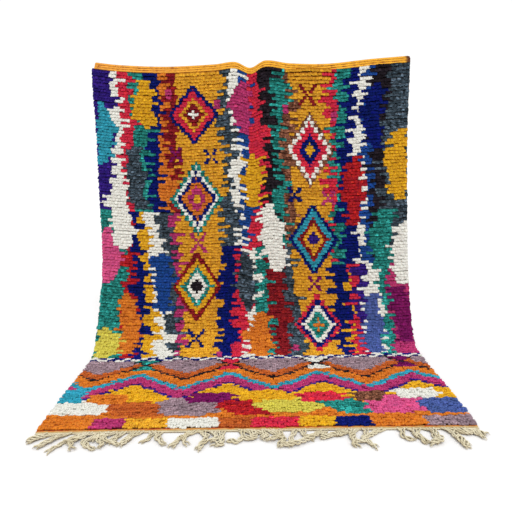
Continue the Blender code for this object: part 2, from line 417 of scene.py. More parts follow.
# long shapes over the bands, the later over the earlier: yarn, stops of row, middle and half width
streaks = [
    ("turquoise", [(10, 3, 2), (18, 4, 4), (30, 2, 2)]),
    ("slate", [(24, 19, 2), (33, 18, 4), (44, 20, 3)]),
    ("amber", [(2, 26, 2), (9, 24, 4), (17, 26, 2)]),
    ("pink", [(52, 3, 3), (60, 4, 5), (70, 2, 3)]),
    ("white", [(40, 6, 3), (48, 10, 5), (58, 12, 3)]),
    ("orange", [(74, 13, 2), (84, 16, 4), (95, 15, 3)]),
    ("royal", [(60, 30, 2), (68, 32, 4), (80, 31, 2)]),
    ("lemon", [(86, 5, 3), (92, 7, 5), (98, 5, 3)]),
    ("magenta", [(3, 74, 2), (10, 73, 4), (19, 75, 2)]),
    ("amber", [(26, 80, 2), (34, 79, 4), (43, 80, 2)]),
    ("white", [(44, 87, 2), (54, 89, 5), (66, 90, 3)]),
    ("slate", [(60, 75, 2), (70, 74, 4), (79, 75, 2)]),
    ("orange", [(80, 82, 2), (88, 80, 5), (97, 82, 3)]),
    ("navy", [(5, 140, 2), (14, 138, 4), (25, 140, 2)]),
    ("red", [(28, 131, 2), (38, 129, 4), (50, 131, 2)]),
    ("amber", [(20, 153, 2), (30, 151, 4), (42, 153, 3)]),
    ("teal", [(46, 146, 3), (56, 143, 5), (66, 145, 3)]),
    ("white", [(50, 155, 2), (58, 154, 4), (70, 155, 3)]),
    ("plum", [(72, 151, 3), (80, 153, 4), (90, 152, 3)]),
    ("periwinkle", [(74, 137, 2), (84, 138, 4), (96, 136, 3)]),
]
# on the gold: across, row, half width, half height, then rings of yarn and share, from outside in
lozenges = [
    (50, 13, 13, 10, [
        ("navy", 1.0), ("crimson", 0.82), ("gold", 0.56), ("maroon", 0.40), ("white", 0.16),
    ]),
    (50, 41, 14, 13, [
        ("teal", 1.0), ("white", 0.86), ("navy", 0.72), ("orange", 0.58), ("magenta", 0.38),
        ("amber", 0.15),
    ]),
    (49, 71, 13, 12, [
        ("maroon", 1.0), ("amber", 0.82), ("teal", 0.62), ("white", 0.42), ("black", 0.24),
    ]),
    (108, 25, 13, 13, [
        ("brown", 1.0), ("white", 0.86), ("crimson", 0.70), ("navy", 0.44), ("amber", 0.22),
    ]),
    (109, 55, 13, 12, [
        ("navy", 1.0), ("turquoise", 0.84), ("maroon", 0.62), ("gold", 0.46), ("indigo", 0.24),
    ]),
    (110, 84, 12, 11, [
        ("crimson", 1.0), ("navy", 0.84), ("white", 0.68), ("teal", 0.50), ("orange", 0.22),
    ]),
]
# between the lozenges: across, row, arm, yarn
crosses = [
    (40, 26, 2, "plum"), (58, 27, 2, "navy"), (50, 56, 3, "magenta"), (49, 89, 3, "navy"),
    (107, 7, 3, "maroon"), (100, 40, 2, "navy"), (117, 41, 2, "magenta"), (109, 70, 2, "plum"),
]
# in the corners beside the lozenges: across, row
smallPluses = [(38, 6), (62, 10), (96, 12), (120, 14), (98, 93), (61, 96)]
# in the bays of the chevrons and below them: yarn, across, row, half width, half height, lean
floorPatches = [
    ("white", 10, 127, 11, 4, -0.7), ("rust", 31, 128, 10, 4, 0.5), ("mauve", 52, 127, 12, 5, -0.4),
    ("red", 73, 128, 9, 4, 0.6), ("lemon", 93, 127, 12, 4, -0.3), ("teal", 113, 128, 9, 4, 0.8),
    ("pink", 132, 127, 11, 5, -0.6), ("periwinkle", 150, 128, 9, 4, 0.4),
    ("orange", 21, 123, 7, 3, 0.2), ("plum", 62, 123, 8, 3, -0.9), ("crimson", 104, 123, 8, 3, 0.5),
    ("white", 141, 122, 8, 3, 0.3), ("turquoise", 2, 121, 6, 4, 0.2), ("amber", 84, 122, 6, 3, 0.4),
    ("brown", 123, 123, 6, 3, -0.3),
]
# the chevrons' stripes: yarn and depth
stripes = [
    ("rust", 3), ("black", 1), ("orange", 4), ("turquoise", 2), ("magenta", 4), ("indigo", 1),
    ("amber", 26),
]
# the last rows run in long bars: last knot and yarn
frontBars = [
    (19, "orange"), (31, "magenta"), (47, "gold"), (66, "white"), (78, "rust"), (95, "crimson"),
    (108, "amber"), (121, "navy"), (140, "orange"), (157, "mauve"),
]


def drawUpperPart():
    paint(rowOf >= 0, "gold")
    for k, (rows, start, fromRight, table) in enumerate(bandGroups):
        bands(table, rows, start, 1 + 20 * k, fromRight)
    for k, (yarn, stops) in enumerate(streaks):
        streak(yarn, stops, k)
    for k, shape in enumerate(lozenges):
        lozenge(*shape, design["toothed"] * (k % 2))
    for shape in crosses:
        cross(*shape)
    for across, row in smallPluses:
        plus(across, row, 1, "magenta")


def drawFloorPart():
    # a checked border, then chevrons from side to side over a patched ground
    floorRow, patchRow, period = design["floorRow"], design["patchRow"], design["chevron"]
    paint(rowOf >= floorRow, "mauve")
    checks(floorRow, lines=2, width=4, yarnA="navy", yarnB="white")
    zigzag(floorRow + 2, patchRow, period, design["chevronHeight"], design["chevronShift"], stripes)
    paint(rowOf >= patchRow, "orange")
    for k, shape in enumerate(floorPatches):
        patch(*shape, 120 + k)
    for k, yarn in enumerate(("teal", "crimson", "white", "plum")):
        middle = design["chevronShift"] + period * (k + 0.5)
        hourglass(middle, floorRow + 5, halfAcross=5, halfRow=3, yarn=yarn, outline="black")
    first = 0
    for last, yarn in frontBars:
        paint((knotOf >= first) & (knotOf < last) & (rowOf >= design["barRow"]), yarn)
        first = last


drawUpperPart()
drawFloorPart()
print("design charted:", knots["rows"], "rows of", knots["across"], "knots")

# short ways to build the materials' nodes
def newGroup(name, treeKind, inputs, outputs):
    tree = bpy.data.node_groups.new(name, treeKind)
    for label, kind, value in inputs:
        socket = tree.interface.new_socket(label, in_out="INPUT", socket_type=kind)
        if value is not None:
            socket.default_value = value
    for label, kind in outputs:
        tree.interface.new_socket(label, in_out="OUTPUT", socket_type=kind)
    return tree


class Wires:
    # adds and joins the nodes of one tree
    def __init__(self, tree):
        self.tree = tree

    def add(self, kind, **settings):
        node = self.tree.nodes.new(kind)
        for key, value in settings.items():
            setattr(node, key, value)
        return node

    def feed(self, node, socket, value):
        target = node.inputs[socket]
        if isinstance(value, bpy.types.NodeSocket):
            self.tree.links.new(value, target)
        elif value is not None:
            target.default_value = value

    def feedAll(self, node, sockets, values):
        for socket, value in zip(sockets, values):
            self.feed(node, socket, value)
        return node

    def math(self, operation, a, b=None, c=None, clamp=False):
        node = self.add("ShaderNodeMath", operation=operation, use_clamp=clamp)
        return self.feedAll(node, range(3), (a, b, c)).outputs[0]

    def stir(self, value, amount, middle=0.0):
        # the middle, moved up or down by a value that runs from 0 to 1
        return self.math("MULTIPLY_ADD", self.math("SUBTRACT", value, 0.5), amount, middle)

    def fromMiddle(self, value):
        # how far it is from the middle of its own step
        return self.math("ABSOLUTE", self.math("SUBTRACT", self.math("FRACT", value), 0.5))

    def wave(self, value, turns):
        return self.math("SINE", self.math("MULTIPLY", value, fullTurn * turns))

    def between(self, value, low, high, toLow=0.0, toHigh=1.0, smooth=True):
        kind = "SMOOTHSTEP" if smooth else "LINEAR"
        node = self.add("ShaderNodeMapRange", interpolation_type=kind)
        sockets = ("Value", "From Min", "From Max", "To Min", "To Max")
        return self.feedAll(node, sockets, (value, low, high, toLow, toHigh)).outputs[0]

    def noise(self, place, scale, detail=2.0, roughness=0.5):
        node = self.add("ShaderNodeTexNoise")
        sockets = ("Vector", "Scale", "Detail", "Roughness")
        return self.feedAll(node, sockets, (place, scale, detail, roughness)).outputs["Fac"]

    def blend(self, share, a, b, kind="MIX"):
        node = self.add("ShaderNodeMix", data_type="RGBA", blend_type=kind)
        return self.feedAll(node, ("Factor", 6, 7), (share, a, b)).outputs[2]

    def attribute(self, name):
        return self.add("ShaderNodeAttribute", attribute_name=name).outputs

    def objectPlace(self):
        return self.add("ShaderNodeTexCoord").outputs["Object"]

    def axes(self, vector):
        return self.feedAll(self.add("ShaderNodeSeparateXYZ"), (0,), (vector,)).outputs

    def weave(self):
        return self.axes(self.add("ShaderNodeUVMap", uv_map="weave").outputs["UV"])

    def bump(self, surface, height, strength, distance):
        node = self.add("ShaderNodeBump")
        self.feedAll(node, ("Strength", "Distance", "Height"), (strength, distance, height))
        self.feed(surface, "Normal", node.outputs[0])


# wool: painted shade takes it to its root colour down in the pile, and it is heathered from strand
# to strand and flecked along its fibres
wool = {
    "rootShadeFade": 1.4,
    "drawnOut": (0.45, 1.6, 1.6),  # the heathering runs along the rows
    "strandScale": 120.0,
    "strandSpread": 3.8,
    "shadeSpread": 1.7,
    "fibreScale": 620.0,
    "saturation": (1.06, 0.90),
    "hueSpread": 0.012,
    "roughness": (0.82, 0.97),
    "plainRootShade": (0.34, 0.24, 0.20, 1),  # painted root shade, times the yarn's own colour
}


def woolGroup():
    given = [
        ("Yarn", "NodeSocketColor", (0.5, 0.5, 0.5, 1)),
        ("RootShade", "NodeSocketColor", (0.2, 0.2, 0.2, 1)),
        ("Up", "NodeSocketFloat", 1.0),
        ("Shade", "NodeSocketFloat", 0.5),
        ("Place", "NodeSocketVector", None),
        ("Depth", "NodeSocketFloat", 0.4),
        ("Marl", "NodeSocketFloat", 0.2),
        ("Fleck", "NodeSocketFloat", 0.25),
    ]
    made = [
        ("Colour", "NodeSocketColor"),
        ("Roughness", "NodeSocketFloat"),
        ("Fibre", "NodeSocketFloat"),
    ]
    tree = newGroup("woolYarn", "ShaderNodeTree", given, made)
    w = Wires(tree)
    given = w.add("NodeGroupInput").outputs
    # painted shade: the colour goes towards the root colour as Up falls, as far as Depth
    down = w.math("SUBTRACT", 1.0, w.math("POWER", given["Up"], wool["rootShadeFade"]), clamp=True)
    rootShaded = w.blend(w.math("MULTIPLY", down, given["Depth"]), given["Yarn"], given["RootShade"])
    drawn = w.add("ShaderNodeVectorMath", operation="MULTIPLY")
    w.feedAll(drawn, (0, 1), (given["Place"], wool["drawnOut"]))
    strand = w.noise(drawn.outputs[0], wool["strandScale"], 2.0, 0.6)
    uneven = w.stir(given["Shade"], wool["shadeSpread"], w.stir(strand, wool["strandSpread"]))
    heather = w.math("EXPONENT", w.math("MULTIPLY", uneven, given["Marl"]))
    fibre = w.noise(given["Place"], wool["fibreScale"], 2.0, 0.6)
    fleck = w.stir(fibre, given["Fleck"], 1.0)
    tinted = w.add("ShaderNodeHueSaturation")
    w.feed(tinted, "Color", rootShaded)
    w.feed(tinted, "Saturation", w.between(fibre, 0.3, 0.75, *wool["saturation"]))
    w.feed(tinted, "Value", w.math("MULTIPLY", heather, fleck))
    w.feed(tinted, "Hue", w.stir(given["Shade"], wool["hueSpread"], 0.5))
    rough = w.between(fibre, 0.3, 0.7, *wool["roughness"])
    out = w.add("NodeGroupOutput")
    w.feedAll(out, ("Colour", "Roughness", "Fibre"), (tinted.outputs[0], rough, fibre))
    return tree


woolTree = woolGroup()


def newMaterial(name, sheen=0.0, sheenTint=(1, 1, 1, 1), specular=0.15):
    material = bpy.data.materials.new(name)
    material.use_nodes = True
    surface = material.node_tree.nodes["Principled BSDF"]
    for socket, value in (
        ("Roughness", 0.9), ("Specular IOR Level", specular), ("Sheen Weight", sheen),
        ("Sheen Roughness", 0.5), ("Sheen Tint", sheenTint),
    ):
        surface.inputs[socket].default_value = value
    return material, surface, Wires(material.node_tree)


def placeWool(w, surface, yarn, up, shade, root=None, **values):
    # painted shade: unless a root colour is given, the roots are the yarn darkened
    root = root or w.blend(1.0, yarn, wool["plainRootShade"], "MULTIPLY")
    node = w.add("ShaderNodeGroup", node_tree=woolTree)
    sockets = ("Yarn", "RootShade", "Up", "Shade", "Place")
    w.feedAll(node, sockets, (yarn, root, up, shade, w.objectPlace()))
    for key, value in values.items():
        w.feed(node, key.capitalize(), value)
    w.feed(surface, "Base Color", node.outputs["Colour"])
    w.feed(surface, "Roughness", node.outputs["Roughness"])
    return node


def pileMaterial(yarn):
    # a tuft is a few strands side by side: the grooves that run down it are bumped and darkened
    # with painted shade
    colour = yarnColour(yarn)
    material, surface, w = newMaterial("wool_" + yarn, sheen=0.05, sheenTint=colour, specular=0.05)
    _, depth, marl = yarns[yarn]
    sway = w.stir(w.noise(w.objectPlace(), 90.0), 1.2, 0.5)
    across = w.math("MULTIPLY_ADD", w.attribute("sideways")["Fac"], 1.5, sway)
    groove = w.between(w.fromMiddle(across), 0.26, 0.5, 1.0, 0.0)
    # painted shade in the grooves, and towards the roots by how far up
    shaded = w.between(groove, 0.0, 1.0, 0.78, 1.0, smooth=False)
    strand = w.math("MULTIPLY", w.attribute("tipward")["Fac"], shaded)
    node = placeWool(w, surface, colour, strand, w.attribute("shade")["Fac"],
                     root=yarnColour(yarn, deep=True), depth=depth, marl=marl)
    fuzz = w.math("MULTIPLY_ADD", node.outputs["Fibre"], 0.7, groove)
    w.bump(surface, fuzz, 0.5, 0.0012)
    return material


# the foundation, which shows its knots on the back between rows of weft
foundation = {
    "thickness": 0.0034,
    "side": 0.0035,
    "ridge": 0.0009,
    "coarser": 4,
    "weftYarn": (0.62, 0.42, 0.20),
    "weftLines": 5,
    "weftEdge": (0.22, 0.30),  # from the middle of a row, in rows
    "pileSideShade": 0.4,  # painted shade under the pile: a share of the yarn's root colour
}


def foundationMaterial():
    material, surface, w = newMaterial("rugBack", sheen=0.12)
    weave = w.weave()
    row = w.math("MULTIPLY", weave["Y"], float(knots["rows"]))
    ragged = w.stir(w.noise(w.objectPlace(), 260.0), 0.20, w.fromMiddle(row))
    knot = w.attribute("knotColour")
    # the pile side, which shows no weft, is marked by its alpha
    isKnot = w.math("MAXIMUM", w.between(ragged, *foundation["weftEdge"], 1.0, 0.0),
                    w.math("SUBTRACT", 1.0, knot["Alpha"]))
    yarn = w.blend(isKnot, linear(foundation["weftYarn"]), knot["Color"])
    fromKnot = w.fromMiddle(w.math("MULTIPLY", weave["X"], 2.0 * knots["across"]))
    # painted shade: darker between the knots and in the hollows of the weft lines
    knotUp = w.between(fromKnot, 0.28, 0.5, 1.0, 0.55)
    weft = w.wave(w.math("FRACT", row), foundation["weftLines"])
    weftUp = w.between(weft, -1.0, 0.6, 0.62, 1.0)
    up = w.add("ShaderNodeMix", data_type="FLOAT")
    up = w.feedAll(up, (0, 2, 3), (isKnot, weftUp, knotUp)).outputs[0]
    placeWool(w, surface, yarn, up, w.noise(w.objectPlace(), 38.0, 3.0), depth=0.8, marl=0.25)
    w.bump(surface, up, 0.8, 0.0016)
    return material


def makeFoundation():
    start = cloth["topHeading"] + cloth["gap"]
    end = cloth["length"] - cloth["frontHeading"] - cloth["gap"]
    half = cloth["halfWidth"] - foundation["side"]
    rows, columns = knots["rows"], knots["across"]

    def place(u, v, front):
        back = np.where(np.round(v * 2 * rows) % 2 == 1, 0.0, foundation["ridge"])
        lift = np.where(front, foundation["thickness"], back)
        return (u * 2 - 1) * half, start + (end - start) * v, lift

    mesh, u, v, isFront = clothSheet("foundation", columns, 2 * rows, place, foundation["coarser"])
    column = np.clip((u * columns).astype(int), 0, columns - 1)
    row = np.clip((v * rows).astype(int), 0, rows - 1)
    palette, roots = (np.array([yarnColour(name, deep) for name in yarnNames], np.float32)
                      for deep in (False, True))
    # painted shade: the pile side, hidden under the tufts, is a share of its yarn's root colour
    roots = roots * (*[foundation["pileSideShade"]] * 3, 0.0)
    colours = np.where(isFront[:, None], roots[chart[row, column]], palette[chart[row, column]])
    attribute = mesh.color_attributes.new("knotColour", "FLOAT_COLOR", "CORNER")
    attribute.data.foreach_set("color", colours.astype(np.float32).ravel())
    return addPiece("foundation", mesh, foundationMaterial())


# the pile: a tuft for each knot, lying down the rug over the next row. Where the rug lies on the
# floor the pile opens, and the two ends of each knot stand apart
pile = {
    # rings of one yarn end: down the rug, out from the back, half its width, half its depth, how
    # far up, which sets its painted root shade
    "hanging": [
        (-0.0010, 0.0040, 0.0082, 0.0034, 0.0), (0.0066, 0.0102, 0.0092, 0.0040, 0.48),
        (0.0170, 0.0123, 0.0088, 0.0032, 1.0),
    ],
    "lying": [
        (-0.0010, 0.0060, 0.0056, 0.0044, 0.45), (0.0085, 0.0118, 0.0062, 0.0046, 0.85),
        (0.0200, 0.0122, 0.0056, 0.0042, 1.0),
    ],
    "squareness": 1.22,  # corners stand out this much, so that neighbours close up
    "thickness": (0.92, 1.1),  # of one end against another
    "stretch": (0.85, 1.12),
    "bend": 0.0006,
    "cut": 0.0012,  # how uneven the tips are
    "shapesOfEach": 5,
    "endsApart": 0.0028,  # from the middle of the knot, where its ends stand apart
    "splay": 0.35,  # how much further apart they are at each ring
    "rowStart": 0.12,  # share of a row from its upper edge to the roots
    "rowWander": (0.0012, 0.0013),  # slow, and from hand's breadth to hand's breadth
    "mostWander": 0.0030,
    "inset": 0.0085,  # no tuft is rooted nearer to a side
    # across, width and how far the first rows ride up over the heading
    "overHeading": [(0.34, 0.11, 0.013), (0.72, 0.17, 0.006)],
    "firstRow": 0.0025,  # rooted this much higher, against the heading
    "jitter": 0.0005,
    "openJitter": 0.0016,
    "opens": (1.30, 0.40),  # along, and over how far
    # radians: their middle and their spread
    "slant": {"hanging": (-0.12, 0.10), "lying": (0.0, 0.17)},
    "lift": {"hanging": (0.0, 0.035), "lying": (0.05, 0.11)},
    "leastLift": -0.25,  # the floor holds it up
    "roll": 0.05,
    "sideLean": (0.15, 0.030),  # inwards at the sides of the lying part, over this width
    "size": (0.07, 0.08, 0.09),  # spread of its width, length and depth
    "sizeRange": (0.75, 1.3),
    "lastRow": 0.80,  # the last row stops short of the fringe
    "shade": (0.17, 0.10),  # from knot to knot, and from batch to batch of yarn
    "bakeCell": 0.9,
    "bakeSize": (0.024, 0.028),  # width and length of the place that a tuft fills in its cell
}


def yarnEnd(bm, up, side, rings, across, rng):
    ring = list(bmesh.ops.create_circle(bm, cap_ends=True, segments=4, radius=1.0)["verts"])
    face = next(iter(set(ring[0].link_faces)))
    angles = [math.atan2(v.co.y, v.co.x) + math.pi / 4 for v in ring]
    bend = rng.uniform(-pile["bend"], pile["bend"])
    for k, (down, out, halfAcross, halfOut, tipward) in enumerate(rings):
        if k:
            grown = bmesh.ops.extrude_face_region(bm, geom=[face], use_keep_orig=k == 1)["geom"]
            face = next(g for g in grown if isinstance(g, bmesh.types.BMFace))
            corners = [g for g in grown if isinstance(g, bmesh.types.BMVert)]
            ring = [min(corners, key=lambda g: (g.co - v.co).length) for v in ring]
        before, after = rings[max(k - 1, 0)], rings[min(k + 1, len(rings) - 1)]
        lean = math.atan2(after[1] - before[1], after[0] - before[0])
        wide, deep = rng.uniform(*pile["thickness"], 2) if k else (1.0, 1.0)
        cut = pile["cut"] if k == len(rings) - 1 else 0.0
        for angle, v in zip(angles, ring):
            x = halfAcross * wide * math.cos(angle) * pile["squareness"]
            high = halfOut * deep * math.sin(angle) * pile["squareness"]
            push = rng.uniform(-cut, cut) if cut else 0.0
            v.co = (across * (1 + pile["splay"] * k) + bend * k + x,
                    down - math.sin(lean) * high + push, out + math.cos(lean) * high)
            v[up] = tipward
            v[side] = math.copysign(1.0, math.cos(angle))


def putInOrder(parts, key):
    # an extrusion gives its parts in another order each run
    for index, part in enumerate(sorted(parts, key=key)):
        part.index = index
    parts.sort()


def tuftShape(index, lying, home):
    rng = np.random.default_rng(500 + index)
    bm = bmesh.new()
    up = bm.verts.layers.float.new("tipward")
    side = bm.verts.layers.float.new("sideways")
    if lying:
        for way in (-1, 1):
            stretch = rng.uniform(*pile["stretch"])
            rings = [(down * stretch, out * stretch, *rest) for down, out, *rest in pile["lying"]]
            yarnEnd(bm, up, side, rings, way * pile["endsApart"], rng)
    else:
        yarnEnd(bm, up, side, pile["hanging"], 0.0, rng)
    bmesh.ops.recalc_face_normals(bm, faces=bm.faces)
    putInOrder(bm.verts, lambda v: v.co[:])
    for parts in (bm.edges, bm.faces):
        putInOrder(parts, lambda part: sorted(v.index for v in part.verts))
    mesh = meshFrom(bm, "tuft")
    mesh.shade_smooth()
    flat, corner, _, _ = readMesh(mesh)
    wide, long = pile["bakeSize"]
    addMap(mesh, "OFBake", 0.5 + flat[corner, 0] / wide, 0.12 + flat[corner, 1] / long)
    home.objects.link(bpy.data.objects.new("tuft%02d" % index, mesh))


def tuftNodes(home):
    shape = ("Geometry", "NodeSocketGeometry")
    tree = newGroup("tuftOnEachKnot", "GeometryNodeTree", [(*shape, None)], [shape])
    w = Wires(tree)

    def named(name, kind="FLOAT_VECTOR"):
        node = w.add("GeometryNodeInputNamedAttribute", data_type=kind)
        node.inputs["Name"].default_value = name
        return node.outputs["Attribute"]

    shapes = w.add("GeometryNodeCollectionInfo")
    w.feedAll(shapes, ("Collection", "Separate Children", "Reset Children"), (home, True, True))
    place = w.add("GeometryNodeInstanceOnPoints")
    w.feed(place, "Points", w.add("NodeGroupInput").outputs[0])
    w.feed(place, "Instance", shapes.outputs[0])
    w.feed(place, "Pick Instance", True)
    w.feed(place, "Instance Index", named("kind", "INT"))
    w.feed(place, "Rotation", named("turn", "QUATERNION"))
    w.feed(place, "Scale", named("size"))
    real = w.add("GeometryNodeRealizeInstances")
    w.feed(real, "Geometry", place.outputs[0])
    within = w.add("ShaderNodeVectorMath", operation="MULTIPLY_ADD")
    w.feedAll(within, range(3), (named("OFBake"), named("cellSize"), named("cell")))
    store = w.add("GeometryNodeStoreNamedAttribute", data_type="FLOAT2", domain="CORNER")
    w.feedAll(store, ("Name", "Geometry", "Value"), ("OFBake", real.outputs[0], within.outputs[0]))
    w.feed(w.add("NodeGroupOutput"), 0, store.outputs[0])
    return tree


def overHeading(across):
    return sum(rise * np.exp(-(((across - middle) / width) ** 2))
               for middle, width, rise in pile["overHeading"])


def knotPlaces():
    # where every knot sits, how its tuft is turned and how light it is
    rng = np.random.default_rng(77)
    rows, columns = knots["rows"], knots["across"]
    row, column = np.indices((rows, columns)).reshape(2, -1)
    count = len(row)
    start = cloth["topHeading"] + cloth["gap"]
    pitch = (cloth["length"] - cloth["frontHeading"] - cloth["gap"] - start) / rows
    step = 2 * cloth["halfWidth"] / columns

    def drift(stations):
        at = np.linspace(0, columns - 1, stations)
        every = np.arange(columns)
        return np.stack([np.interp(every, at, rng.normal(0, 1, stations)) for _ in range(rows)])

    stray = drift(14) * pile["rowWander"][0] + drift(48) * pile["rowWander"][1]
    stray = np.clip(stray, -pile["mostWander"], pile["mostWander"])
    batches = drift(14)
    across = (column + 0.5) * step - cloth["halfWidth"]
    across = across + rng.uniform(-1, 1, count) * pile["jitter"]
    reach = cloth["halfWidth"] - pile["inset"]
    across = np.clip(across, -reach, reach)
    along = start + (row + pile["rowStart"]) * pitch + stray[row, column]
    along = along - overHeading(across) * np.clip(1 - row / 4, 0, 1)
    along = along - pile["firstRow"] * (row == 0)
    lying = ease((along - pile["opens"][0]) / pile["opens"][1])
    along = along + rng.uniform(-1, 1, count) * (pile["jitter"] + pile["openJitter"] * lying)
    down, out = clothFrame(across, along)
    places = drape(across, along)

    def drawn(key):
        (hangMiddle, hangSpread), (layMiddle, laySpread) = pile[key]["hanging"], pile[key]["lying"]
        spread = hangSpread + (laySpread - hangSpread) * lying
        return hangMiddle + (layMiddle - hangMiddle) * lying + rng.normal(0, 1, count) * spread

    lift, slant, roll = drawn("lift"), drawn("slant"), rng.normal(0, pile["roll"], count)
    lift = np.maximum(lift, pile["leastLift"])
    lean, width = pile["sideLean"]
    inside = np.clip((cloth["halfWidth"] - np.abs(across)) / width, 0.0, 1.0)
    slant = slant * (1 - lying * (1 - inside)) - lean * np.sign(across) * lying * (1 - inside)
    opened = rng.random(count) < lying
    turns = np.empty((count, 4), np.float32)
    for i in range(count):
        y, z = Vector(down[i]), Vector(out[i])
        ofCloth = Matrix((y.cross(z), y, z)).transposed()
        turns[i] = (ofCloth @ Euler((lift[i], roll[i], slant[i])).to_matrix()).to_quaternion()
    size = np.stack([rng.normal(1.0, spread, count) for spread in pile["size"]], -1)
    size[row == rows - 1, 1] *= pile["lastRow"]
    fromKnot, fromBatch = pile["shade"]
    shade = 0.5 + fromKnot * rng.normal(0, 1, count) + fromBatch * batches[row, column]
    return {
        "yarn": chart[row, column],
        "place": places,
        "turn": turns,
        "size": np.clip(size, *pile["sizeRange"]),
        "shade": np.clip(shade, 0, 1),
        "kind": rng.integers(0, pile["shapesOfEach"], count) + pile["shapesOfEach"] * opened,
    }


def makePile():
    home = bpy.data.collections.new("tuftShapes")
    scene.collection.children.link(home)
    for index in range(2 * pile["shapesOfEach"]):
        tuftShape(index, index >= pile["shapesOfEach"], home)
    tree = tuftNodes(home)
    everyKnot = knotPlaces()
    pieces = []
    for number, yarn in enumerate(yarnNames):
        name = "pile" + yarn.capitalize()
        of = np.flatnonzero(everyKnot["yarn"] == number)
        points = bpy.data.meshes.new(name)
        points.vertices.add(len(of))
        points.vertices.foreach_set("co", everyKnot["place"][of].ravel())
        # each tuft has its own cell in the map that a bake uses
        side = math.ceil(math.sqrt(len(of)))
        order = np.arange(len(of))
        cellSize = pile["bakeCell"] / side
        values = {key: everyKnot[key][of] for key in ("turn", "size", "kind", "shade")}
        values["cell"] = np.stack([order % side, order // side, np.zeros(len(of))], -1) / side
        values["cellSize"] = np.tile([cellSize, cellSize, 0.0], (len(of), 1))
        for key, kind in (
            ("turn", "QUATERNION"), ("size", "FLOAT_VECTOR"), ("cell", "FLOAT_VECTOR"),
            ("cellSize", "FLOAT_VECTOR"), ("kind", "INT"), ("shade", "FLOAT"),
        ):
            field = "vector" if kind == "FLOAT_VECTOR" else "value"
            flat = np.ascontiguousarray(values[key], np.int32 if kind == "INT" else np.float32)
            points.attributes.new(key, kind, "POINT").data.foreach_set(field, flat.ravel())
        grower = bpy.data.objects.new("grower", points)
        scene.collection.objects.link(grower)
        grower.modifiers.new("tufts", "NODES").node_group = tree
        mesh = finishedMesh(grower, name)
        for key in ("turn", "size", "cell", "cellSize", "kind"):
            if key in mesh.attributes:
                mesh.attributes.remove(mesh.attributes[key])
        pieces.append(addPiece(name, mesh, pileMaterial(yarn)))
    for shape in list(home.objects):
        bpy.data.objects.remove(shape)
    bpy.data.collections.remove(home)
    return pieces


# the headings at both ends of the pile, and the cords along its sides
headings = {
    "columns": 500,
    "ribs": 3,
    "stitch": 0.0092,
    "stitchHeight": 0.0009,
    "height": 0.0026,
    "face": 0.0114,  # from its back to its grooves
    "edgeFace": 0.0100,
    "edgeBack": 0.003,
    "backHollow": 0.0016,
    "sway": 0.07,
    "stations": 46,  # where its sway and its thickness change
    "puff": 0.0005,
    "under": (0.0060, 0.35, 0.25),  # how deep the first tufts press it, from which share of it
    # along, left end, right end
    "topEnds": [
        (0.000, -0.826, 0.838), (0.006, -0.831, 0.846), (0.018, -0.834, 0.850),
        (0.035, -0.838, 0.850),
    ],
    "twist": 0.0082,
    "left": (0.93, 0.64, 0.22),
    "right": (0.95, 0.69, 0.16),
    # painted shade in the grooves between the ribs
    "groove": (0.58, 0.25, 0.09),
    "corner": (0.38, 0.22, 0.12),
}
frontHeading = {
    "height": 0.0078,
    "lines": 5,
    "lineHeight": 0.0004,
    "knot": 0.0108,
    "knotHeight": 0.0003,
    "straw": (0.80, 0.70, 0.50),  # beside the fringe
    "ochre": (0.78, 0.50, 0.16),
    # painted shadow under the overhang of the last pile row, in patches among the tan
    "red": (0.70, 0.27, 0.12),
    "tan": (0.72, 0.52, 0.26),
}
sideCords = {
    "in": 0.0030,
    "radius": 0.0034,
    "narrow": 0.82,  # between two wraps
    "out": 0.0036,
    "wrap": 0.0052,
    "dark": (0.20, 0.13, 0.12),
    "brown": (0.42, 0.28, 0.20),
}


def headingMaterial():
    material, surface, w = newMaterial("headingWool", sheen=0.22)
    weave, place = w.weave(), w.objectPlace()
    x = w.axes(place)["X"]
    rib = w.math("ABSOLUTE", w.wave(weave["Y"], headings["ribs"] / 2))
    up = w.between(w.math("MULTIPLY_ADD", w.noise(place, 160.0), 0.3, rib), 0.1, 0.85)
    ragged = w.stir(w.noise(place, 42.0, 3.0, 0.7), 3.0, up)
    batch = w.between(w.stir(w.noise(place, 3.0), 1.6, x), -0.5, 0.2)
    crown = w.blend(batch, linear(headings["left"]), linear(headings["right"]))
    # painted shade: the grooves between the ribs take the groove colour
    yarn = w.blend(w.between(ragged, 0.05, 0.80), linear(headings["groove"]), crown)
    yarn = w.blend(w.between(weave["X"], 0.982, 0.994), yarn, linear(headings["corner"]))
    # painted shade between the twists of the stitches, and down in the grooves by the wool's depth
    across = w.math("MULTIPLY", weave["Y"], 14.0)
    twist = w.math("SINE", w.math("MULTIPLY_ADD", x, fullTurn / headings["twist"], across))
    up = w.math("MULTIPLY", up, w.between(twist, -1.0, 0.6, 0.72, 1.0))
    placeWool(w, surface, yarn, up, w.noise(place, 55.0, 3.0), depth=0.42, marl=0.18)
    return material


